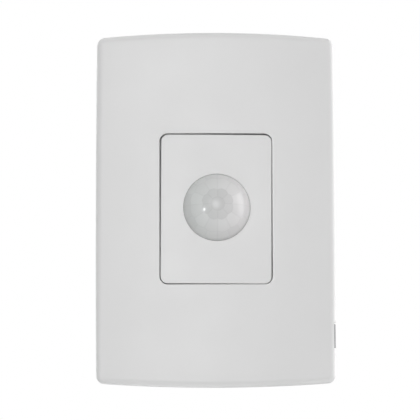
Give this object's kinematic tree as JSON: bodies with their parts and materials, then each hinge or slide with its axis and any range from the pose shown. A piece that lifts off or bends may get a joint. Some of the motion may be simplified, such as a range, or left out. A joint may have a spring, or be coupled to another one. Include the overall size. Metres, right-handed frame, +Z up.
{
  "type": "motion sensor light switch",
  "caption": "Wall-box motion sensor light switch: bowed push-on cover plate over a screwed frame, with a latched sensor module, domed lens, relay boards and rising-clamp terminals.",
  "frame": {"origin": "middle of the wall plane, which is the rear face of the support frame, between the two box screws", "axes": "+Z up the wall, +Y into the wall, so the front faces -Y; +X to the right seen from the front"},
  "size_m": [0.0801, 0.0529, 0.1184],
  "materials": {
    "plate_white": "satin moulded",
    "frame_grey": "matt moulded",
    "case_grey": "matt moulded",
    "zinc_steel": "zinc plated",
    "milky_lens": "milky translucent",
    "inner_white": "matt moulded",
    "board_green": "solder mask",
    "can_steel": "nickel plated",
    "filter_dark": "polished",
    "lead_metal": "plated",
    "cell_tan": "coated",
    "chip_black": "moulded",
    "ceramic_tan": "ceramic",
    "trimmer_blue": "moulded",
    "dial_white": "moulded",
    "relay_blue": "moulded",
    "capacitor_yellow": "moulded",
    "capacitor_dark": "sleeved",
    "varistor_blue": "dipped",
    "fuse_brown": "moulded",
    "resistor_tan": "coated",
    "terminal_grey": "moulded",
    "contact_brass": "plain"
  },
  "bodies": {
    "base": {"module_bezel": "plate_white", "support_frame": "frame_grey", "rear_case": "case_grey", "box_screws": "zinc_steel", "case_screws": "zinc_steel", "retainer_screws": "zinc_steel", "fresnel_lens": "milky_lens", "lens_retainer": "inner_white", "pir_spacer": "inner_white", "board_spacers": "inner_white", "sensor_board": "board_green", "power_board": "board_green", "pir_can": "can_steel", "pir_window": "filter_dark", "pir_leads": "lead_metal", "light_cell": "cell_tan", "signal_chip": "chip_black", "chip_components": "ceramic_tan", "time_trimmer_base": "trimmer_blue", "lux_trimmer_base": "trimmer_blue", "board_header": "chip_black", "header_pins": "contact_brass", "relay": "relay_blue", "dropper_capacitor": "capacitor_yellow", "smoothing_capacitor": "capacitor_dark", "surge_varistor": "varistor_blue", "fuse": "fuse_brown", "rectifier_diodes": "chip_black", "power_resistors": "resistor_tan", "driver_transistor": "chip_black", "terminal_bars": "contact_brass", "terminal_housing_1": "terminal_grey", "terminal_housing_2": "terminal_grey", "terminal_housing_3": "terminal_grey"},
    "cover": {"cover_plate": "plate_white"},
    "time_dial": {"time_trimmer_dial": "dial_white"},
    "lux_dial": {"lux_trimmer_dial": "dial_white"},
    "clamp_screw_1": {"terminal_screw_1": "zinc_steel"},
    "clamp_cage_1": {"terminal_cage_1": "contact_brass"},
    "clamp_screw_2": {"terminal_screw_2": "zinc_steel"},
    "clamp_cage_2": {"terminal_cage_2": "contact_brass"},
    "clamp_screw_3": {"terminal_screw_3": "zinc_steel"},
    "clamp_cage_3": {"terminal_cage_3": "contact_brass"}
  },
  "joints": [
    {"name": "cover_pull", "type": "slide", "parent": "base", "child": "cover", "axis": [0, -1, 0], "range_m": [0, 0.03]},
    {"name": "time_dial_turn", "type": "hinge", "parent": "base", "child": "time_dial", "pos_m": [-0.0065, -0.002, -0.0279], "axis": [0, -1, 0], "range_deg": [-135, 135]},
    {"name": "lux_dial_turn", "type": "hinge", "parent": "base", "child": "lux_dial", "pos_m": [0.0065, -0.002, -0.0279], "axis": [0, -1, 0], "range_deg": [-135, 135]},
    {"name": "clamp_screw_1_turn", "type": "hinge", "parent": "base", "child": "clamp_screw_1", "pos_m": [-0.0075, 0.032, -0.0274], "axis": [0, -1, 0], "range_deg": [0, 1584]},
    {"name": "clamp_cage_1_rise", "type": "slide", "parent": "base", "child": "clamp_cage_1", "axis": [0, 1, 0], "range_m": [0, 0.0022]},
    {"name": "clamp_screw_2_turn", "type": "hinge", "parent": "base", "child": "clamp_screw_2", "pos_m": [0, 0.032, -0.0274], "axis": [0, -1, 0], "range_deg": [0, 1584]},
    {"name": "clamp_cage_2_rise", "type": "slide", "parent": "base", "child": "clamp_cage_2", "axis": [0, 1, 0], "range_m": [0, 0.0022]},
    {"name": "clamp_screw_3_turn", "type": "hinge", "parent": "base", "child": "clamp_screw_3", "pos_m": [0.0075, 0.032, -0.0274], "axis": [0, -1, 0], "range_deg": [0, 1584]},
    {"name": "clamp_cage_3_rise", "type": "slide", "parent": "base", "child": "clamp_cage_3", "axis": [0, 1, 0], "range_m": [0, 0.0022]}
  ],
  "couplings": [
    {"joint": "clamp_screw_1_turn", "follows": "clamp_cage_1_rise", "rad_per_m": 12566},
    {"joint": "clamp_screw_2_turn", "follows": "clamp_cage_2_rise", "rad_per_m": 12566},
    {"joint": "clamp_screw_3_turn", "follows": "clamp_cage_3_rise", "rad_per_m": 12566}
  ]
}
